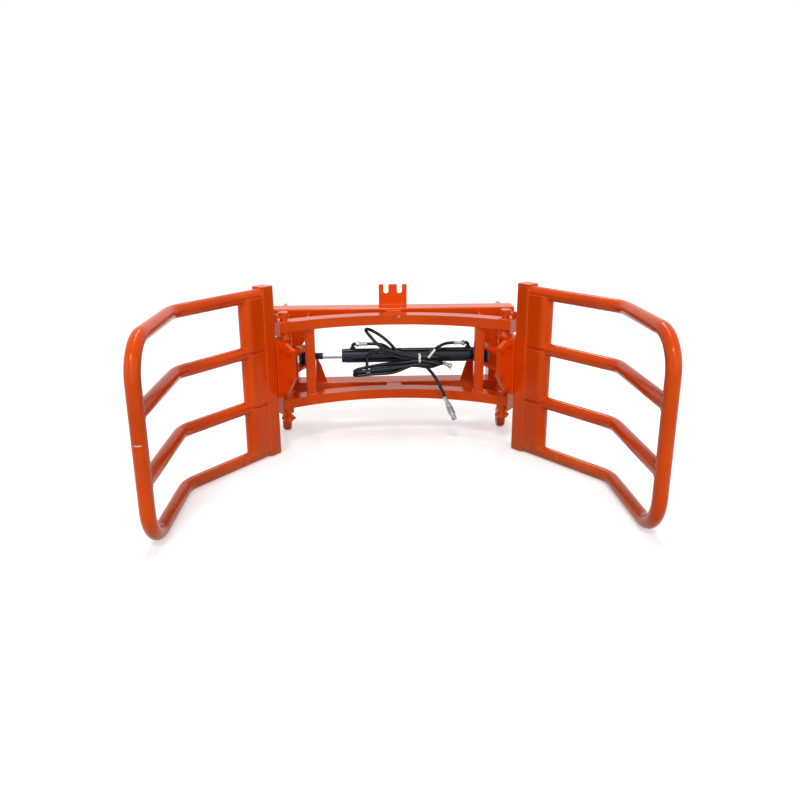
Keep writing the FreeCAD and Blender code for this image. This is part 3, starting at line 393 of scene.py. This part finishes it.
def addHexagon(made, start, way, across, length):
    before = set(made.verts)
    bmesh.ops.create_circle(made, cap_ends=True, segments=6, radius=across / math.sqrt(3.0) / 1000.0)
    base = [face for face in made.faces if not any(vert in before for vert in face.verts)]
    grown = bmesh.ops.extrude_face_region(made, geom=base)
    top = [part for part in grown["geom"] if isinstance(part, bmesh.types.BMVert)]
    bmesh.ops.translate(made, verts=top, vec=(0.0, 0.0, length / 1000.0))
    rim = [edge for edge in made.edges if not any(vert in before for vert in edge.verts)]
    bmesh.ops.bevel(made, geom=rim, offset=0.0008, affect="EDGES", segments=2, profile=0.5, material=-1)
    placeAlong(made, [vert for vert in made.verts if vert not in before], start, way)


def asPiece(made, name, body, slot, smooth=35.0):
    bmesh.ops.recalc_face_normals(made, faces=made.faces)
    mesh = bpy.data.meshes.new(name)
    made.to_mesh(mesh)
    made.free()
    piece = bpy.data.objects.new(name, mesh)
    bpy.context.scene.collection.objects.link(piece)
    mesh.shade_smooth()
    mesh.set_sharp_from_angle(angle=math.radians(smooth))
    finish(piece, slot)
    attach(piece, body)
    return piece


def ferruleSteps(length, radius, crimps):
    # a crimped sleeve: a plain collar, pressed waists and ridges, a rounded mouth for the hose
    steps = [(0.0, 0.0), (0.0, radius - 1.2), (0.8, radius - 0.4), (length * 0.2, radius - 0.4)]
    pitch = length * 0.62 / crimps
    for ridge in range(crimps):
        foot = length * 0.22 + ridge * pitch
        steps += [(foot + pitch * 0.15, radius - 1.3), (foot + pitch * 0.6, radius - 1.3),
                  (foot + pitch * 0.75, radius), (foot + pitch, radius)]
    return steps + [(length * 0.9, radius - 0.3), (length - 0.8, radius - 0.3), (length, radius - 1.2), (length, 0.0)]


def offAxis(offset):
    return cylinderAxis + Vector(offset) / 1000.0


def addFittings():
    facts = {"nut": 26.0, "nutLength": 14.0, "sleeve": 44.0, "sleeveRadius": 10.5, "crimps": 4}
    made = bmesh.new()
    for start, way in ((-203.0, 1.0), (375.0, -1.0)):
        heading = (way, 0.0, 0.0)
        addHexagon(made, offAxis((start, 0.0, 63.0)), heading, facts["nut"], facts["nutLength"])
        sleeveStart = start + way * facts["nutLength"]
        addTurned(made, offAxis((sleeveStart, 0.0, 63.0)), heading,
                  ferruleSteps(facts["sleeve"], facts["sleeveRadius"], facts["crimps"]))
    fittings = asPiece(made, "crimped_port_fittings", "barrel", "zinc_steel")
    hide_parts("port_fittings")
    freeWay = Vector((28.0, 0.0, -12.0)).normalized()
    freeStart = Vector((256.0, -67.2, -31.0))
    made = bmesh.new()
    addTurned(made, offAxis(freeStart), freeWay, ferruleSteps(34.0, facts["sleeveRadius"], 3))
    addHexagon(made, offAxis(freeStart + freeWay * 34.0), freeWay, facts["nut"], facts["nutLength"])
    freeFitting = asPiece(made, "free_hose_fitting", "barrel", "zinc_steel")
    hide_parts("hose_couplings")
    tailWay = Vector((14.0, -2.0, -32.0)).normalized()
    tailStart = Vector((255.0, -166.0, -184.0))
    body = [(0.0, 0.0), (0.0, 14.6), (1.2, 15.8), (6.0, 15.8), (7.0, 14.6), (11.0, 14.6), (12.0, 17.0)]
    for rib in range(6):
        foot = 13.0 + rib * 4.6
        body += [(foot, 17.0), (foot + 2.6, 17.0), (foot + 3.2, 16.0), (foot + 4.0, 16.0)]
    body += [(41.6, 17.0), (46.6, 17.0), (48.0, 15.8), (48.0, 0.0)]
    nose = [(0.0, 0.0), (0.0, 14.0), (5.0, 14.0), (6.0, 12.4), (9.5, 12.4), (10.5, 13.8), (22.0, 13.8), (23.0, 12.6),
            (25.5, 12.6), (26.5, 13.6), (30.0, 13.6), (32.0, 11.6), (32.0, 6.5), (26.0, 6.5), (26.0, 0.0)]
    made = bmesh.new()
    addTurned(made, offAxis(tailStart), tailWay, ferruleSteps(facts["sleeve"], facts["sleeveRadius"], facts["crimps"]))
    at = tailStart + tailWay * facts["sleeve"]
    addHexagon(made, offAxis(at), tailWay, facts["nut"], facts["nutLength"])
    at = at + tailWay * facts["nutLength"]
    addTurned(made, offAxis(at), tailWay, body)
    addTurned(made, offAxis(at + tailWay * 48.0), tailWay, nose)
    coupling = asPiece(made, "quick_coupling", "barrel", "zinc_steel")
    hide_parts("hose_couplings")
    return freeFitting, coupling


def addHoses(freeFitting, coupling):
    facts = {"diameter": 0.017, "rodLength": 2.1, "baseLength": 2.2}
    rodRoute = [
        (-145, 0, 63), (-105, 0, 63), (-64, -8, 60), (-38, -28, 50), (-14, -48, 34), (10, -54, 14),
        (70, -52, -5), (127, -49, -10), (180, -48, -18), (222, -52, -22), (244, -64, -21), (246, -86, -21),
        (220, -98, -22), (175, -90, -16), (127, -85, -10), (60, -84, -20), (0, -74, -26), (-60, -62, -34),
        (-121, -56, -46), (-172, -54, -56), (-204, -58, -64), (-216, -76, -68), (-206, -95, -66),
        (-172, -99, -63), (-121, -97, -58), (-60, -94, -53), (0, -90, -46), (60, -88, -39), (127, -85, -28),
        (165, -87, -33), (195, -86, -38), (212, -72, -39), (200, -54, -36), (160, -46, -33), (127, -49, -28),
        (100, -52, -27), (60, -64, -32), (0, -70, -45), (-60, -78, -45), (-100, -77, -50), (-122, -77, -54),
        (-128, -78, -63), (-122, -79, -74), (-100, -80, -76), (-60, -79, -67), (-20, -72, -64), (16, -60, -58),
        (60, -54, -46), (100, -52, -46), (127, -58, -46), (160, -54, -54), (200, -59, -53), (230, -66, -38),
        (256, -67, -31)]
    rodHose = hoseSpline("rod_hose", rodRoute, facts["diameter"])
    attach(rodHose, "barrel")
    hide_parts("rod_side_hose", "hose_hank")
    baseRoute = [
        (317, 0, 63), (288, 0, 63), (256, -14, 58), (226, -34, 46), (203, -45, 34), (172, -49, 18),
        (127, -49, 8), (70, -48, 14), (24, -44, 24), (-2, -28, 42), (-18, -6, 60), (-49, 8, 87),
        (-86, 12, 114), (-127, 8, 138), (-150, -18, 148), (-150, -50, 142), (-131, -72, 124), (-98, -84, 86),
        (-57, -88, 53), (-25, -88, 44), (17, -89, 32), (70, -88, 17), (127, -85, 8), (180, -88, 12),
        (216, -96, 10), (240, -84, 6), (240, -62, 0), (216, -54, -3), (175, -62, -8), (127, -67, -10),
        (70, -70, -4), (20, -74, 6), (-30, -68, 26), (-70, -66, 42), (-104, -64, 44), (-130, -62, 30),
        (-146, -62, 4), (-147, -68, -24), (-146, -75, -50), (-152, -76, -71), (-178, -68, -80),
        (-206, -62, -83), (-218, -78, -85), (-206, -96, -85), (-176, -100, -82), (-122, -98, -77),
        (-68, -95, -76), (-24, -90, -75), (16, -80, -68), (60, -72, -50), (127, -67, -28), (150, -67, -36),
        (170, -76, -52), (188, -95, -68), (208, -124, -90), (227, -150, -120), (241, -164, -152),
        (255, -166, -184)]
    baseHose = hoseSpline("base_hose", baseRoute, facts["diameter"])
    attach(baseHose, "barrel")
    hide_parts("base_side_hose", "hose_loop", "hose_curl", "hose_tail", "hose_hank")


def addTie(made, middle, long, across, wide, deep, headAt):
    # a flat strap in a rounded loop with its locking head and the cut tail
    strap = {"width": 11.0, "thick": 1.6, "corner": 7.0}
    before = set(made.verts)
    signs = ((-1, -1), (1, -1), (1, 1), (-1, 1))
    dots = [made.verts.new((0.0, a * deep / 2000.0, b * wide / 2000.0)) for a, b in signs]
    for index in range(4):
        made.edges.new((dots[index], dots[(index + 1) % 4]))
    bmesh.ops.bevel(made, geom=dots, offset=strap["corner"] / 1000.0, affect="VERTICES", segments=6, profile=0.5,
                    material=-1)
    loop = [edge for edge in made.edges if not any(vert in before for vert in edge.verts)]
    grown = bmesh.ops.extrude_edge_only(made, edges=loop)
    moved = [part for part in grown["geom"] if isinstance(part, bmesh.types.BMVert)]
    bmesh.ops.translate(made, verts=moved, vec=(strap["width"] / 1000.0, 0.0, 0.0))
    walls = [face for face in made.faces if not any(vert in before for vert in face.verts)]
    bmesh.ops.recalc_face_normals(made, faces=walls)
    bmesh.ops.solidify(made, geom=walls, thickness=-strap["thick"] / 1000.0)
    for size, offset in (((8.0, 5.0, 7.0), (2.5, -deep / 2.0 - 2.2, headAt)),
                         ((4.0, 1.2, 16.0), (2.5, -deep / 2.0 - 3.6, headAt - 9.0))):
        block = bmesh.ops.create_cube(made, size=0.001)["verts"]
        bmesh.ops.scale(made, verts=block, vec=size)
        rim = list({edge for vert in block for edge in vert.link_edges})
        bmesh.ops.translate(made, verts=block, vec=Vector(offset) / 1000.0)
        bmesh.ops.bevel(made, geom=rim, offset=0.0005, affect="EDGES", segments=2, profile=0.5, material=-1)
    across = Vector(across).normalized()
    long = Vector(long).normalized()
    turn = Matrix((long.cross(across) * -1.0, across * -1.0, long)).transposed().to_4x4()
    if turn.determinant() < 0.0:
        turn = Matrix((long.cross(across), across * -1.0, long)).transposed().to_4x4()
    fresh = [vert for vert in made.verts if vert not in before]
    bmesh.ops.transform(made, verts=fresh, matrix=Matrix.Translation(offAxis(middle)) @ turn)


def addTies():
    made = bmesh.new()
    addTie(made, (124.0, -67.0, -0.8), (0.0, 0.0, 1.0), (0.0, -1.0, 0.0), 37.5, 55.0, 4.0)
    addTie(made, (187.0, -66.0, 26.0), (33.0, 8.0, 40.0), (0.0, -1.0, 0.2), 56.0, 60.0, 0.0)
    ties = asPiece(made, "cable_tie_straps", "barrel", "white_nylon")
    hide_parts("cable_ties")


addHoses(*addFittings())
addTies()
print("hoses")


# Weld beads, rippled along their length
arm = {"angle": math.radians(53.3), "tip": math.radians(89.3), "hinge": (0.56, 0.34542), "reach": 0.1504,
       "inset": 0.014, "inner": 0.551, "outer": 0.575, "pipe": 0.03015, "half": 0.0375, "nose": 0.1175,
       "noseRadius": 0.037, "edge": 0.009, "levels": (0.822, 0.558, 0.29, 0.03015)}
outWay = Vector((math.cos(arm["angle"]), -math.sin(arm["angle"]), 0.0))
rearWay = Vector((math.sin(arm["angle"]), math.cos(arm["angle"]), 0.0))
postAxis = Vector((*arm["hinge"], 0.0)) + outWay * arm["reach"] - rearWay * arm["inset"]


def inArm(along, rear, up):
    return postAxis + outWay * along + rearWay * rear + Vector((0.0, 0.0, up))


def ringRun(middle, first, second, radius, start=0.0, end=360.0):
    count = max(8, int(abs(end - start) / 12.0))
    run = []
    for index in range(count + 1):
        angle = math.radians(start + (end - start) * index / count)
        run.append(middle + first * (radius * math.cos(angle)) + second * (radius * math.sin(angle)))
    return run


def addBeads(name, body, runs, side=1.0):
    bead = {"width": 0.0078, "step": 0.0046, "ripple": 0.24}
    curve = bpy.data.curves.new(name, "CURVE")
    curve.dimensions = "3D"
    curve.bevel_depth = bead["width"] / 2.0
    curve.bevel_resolution = 1
    curve.use_fill_caps = True
    for run in runs:
        dots = [run[0]]
        for first, last in zip(run[:-1], run[1:]):
            count = max(1, round((last - first).length / bead["step"]))
            dots += [first.lerp(last, index / count) for index in range(1, count + 1)]
        spline = curve.splines.new("POLY")
        spline.points.add(len(dots) - 1)
        for index, dot in enumerate(dots):
            spline.points[index].co = (dot.x * side, dot.y, dot.z, 1.0)
            spline.points[index].radius = 1.0 - bead["ripple"] * (index % 2)
        spline.use_smooth = True
    beads = bpy.data.objects.new(name, curve)
    bpy.context.scene.collection.objects.link(beads)
    finish(beads, "weld_paint")
    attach(beads, body)


def armRuns():
    across = Vector((0.0, 0.0, 1.0))
    half = arm["half"]
    pipe = arm["pipe"]
    runs = []
    for level in arm["levels"]:
        start, end = (-48.0, 228.0) if level < 0.1 else (0.0, 360.0)
        runs.append(ringRun(inArm(half + 0.001, 0.0, level), rearWay, across, pipe + 0.0015, start, end))
    for upper, lower in zip(arm["levels"][:-1], arm["levels"][1:]):
        for level, way in ((upper, -1.0), (lower, 1.0)):
            edge = level + way * arm["edge"]
            run = [inArm(half, -0.0345, edge), inArm(arm["nose"], -0.0345, edge)]
            for index in range(15):
                rear = -0.0295 + 0.059 * index / 14.0
                along = arm["nose"] + math.sqrt(arm["noseRadius"] ** 2 - rear ** 2) - 0.001
                run.append(inArm(along, rear, level + way * math.sqrt(max((pipe + 0.001) ** 2 - rear ** 2, 0.000081))))
            runs.append(run + [inArm(arm["nose"], 0.0345, edge), inArm(half, 0.0345, edge)])
        for rear in (-0.037, 0.037):
            runs.append([inArm(half + 0.0008, rear, lower + 0.012), inArm(half + 0.0008, rear, upper - 0.012)])
    for rear in (-0.0385, 0.0385):
        runs.append([inArm(-half + 0.0012, rear, 0.3), inArm(-half + 0.0012, rear, 0.575)])
    tipWay = Vector((math.cos(arm["tip"]), -math.sin(arm["tip"]), 0.0))
    tipSide = Vector((tipWay.y, -tipWay.x, 0.0))
    tipAt = inArm(arm["inner"], 0.0, 0.0) + tipWay * arm["outer"]
    for level, start in [(level, start) for level in arm["levels"][1:3] for start in (36.0, 216.0)]:
        run = []
        for index in range(13):
            angle = math.radians(start + 9.0 * index)
            back = (pipe + 0.001) * abs(math.sin(angle)) + 0.001
            run.append(tipAt - tipWay * back + tipSide * ((pipe + 0.001) * math.cos(angle))
                       + across * (level + (pipe + 0.001) * math.sin(angle)))
        runs.append(run)
    hinge = Vector((*arm["hinge"], 0.0))
    for level in (0.294, 0.387, 0.399, 0.475, 0.487, 0.58):
        runs.append(ringRun(hinge + across * level, Vector((1.0, 0.0, 0.0)), Vector((0.0, 1.0, 0.0)), 0.0365))
    return runs


def frameRuns():
    places = {"arcY": -0.54868, "front": 1.015, "rear": 1.095, "end": 34.12, "railFront": 0.61942, "postX": 0.437,
              "postY": 0.40842, "postHalf": (0.0255, 0.0275), "tie": (0.447, 0.459), "postRear": 0.43642,
              "holderFront": 0.72642, "holderHalf": 0.077}
    east = Vector((1.0, 0.0, 0.0))
    north = Vector((0.0, 1.0, 0.0))

    def beamPoint(radius, turn, up):
        turn = math.radians(turn)
        return Vector((radius * math.sin(turn), places["arcY"] + radius * math.cos(turn), up))

    runs = []
    hinge = Vector((*arm["hinge"], 0.0))
    for level in (0.2615, 0.2125, 0.6125, 0.662):
        runs.append(ringRun(hinge + Vector((0.0, 0.0, level)), east, north, 0.0332))
    for low, high in ((0.212, 0.262), (0.612, 0.662)):
        edge = places["end"]
        runs.append([beamPoint(places["front"], edge, low), beamPoint(places["front"], edge, high),
                     beamPoint(places["rear"], edge, high), beamPoint(places["rear"], edge, low)])
    wide, deep = places["postHalf"]
    for level in (0.2628, 0.6112):
        corners = [(-wide, -deep), (wide, -deep), (wide, deep), (-wide, deep), (-wide, -deep)]
        runs.append([Vector((places["postX"] + a, places["postY"] + b, level)) for a, b in corners])
    for x in places["tie"]:
        for low, high in ((0.266, 0.366), (0.592, 0.608)):
            runs.append([Vector((x, places["postRear"], low)), Vector((x, places["postRear"], high))])
    front = places["railFront"]
    for low, high in ((0.18, 0.26), (0.59, 0.67)):
        runs.append([Vector((0.5845, front - 0.001, low + 0.006)), Vector((0.5845, front - 0.001, high - 0.006))])
        runs.append([Vector((0.6015, front - 0.001, low + 0.006)), Vector((0.6015, front - 0.001, high - 0.006))])
    for level in (0.2605, 0.5895):
        runs.append([Vector((0.528, front + 0.002, level)), Vector((0.584, front + 0.002, level))])
    runs.append([Vector((0.37, front + 0.0075, 0.2612)), Vector((0.468, front + 0.0075, 0.2612))])
    runs.append([Vector((0.442, front + 0.0075, 0.589)), Vector((0.522, front + 0.0075, 0.589))])
    runs.append([Vector((0.5245, front + 0.0075, 0.47)), Vector((0.5245, front + 0.0075, 0.586))])
    return runs


def middleRuns():
    runs = []
    for rear in (0.7259, 0.7369):
        runs.append([Vector((-0.076, rear, 0.6712)), Vector((0.076, rear, 0.6712))])
    for top in (0.656, 0.256):
        for y in (0.5465, 0.6184):
            runs.append([Vector((-0.041, y, top - 0.04)), Vector((-0.041, y, top)), Vector((0.041, y, top)),
                         Vector((0.041, y, top - 0.04))])
    return runs


addBeads("right_arm_welds", "right_arm", armRuns())
addBeads("left_arm_welds", "left_arm", armRuns(), -1.0)
addBeads("right_frame_welds", "frame", frameRuns())
addBeads("left_frame_welds", "frame", frameRuns(), -1.0)
addBeads("middle_frame_welds", "frame", middleRuns())
print("welds")
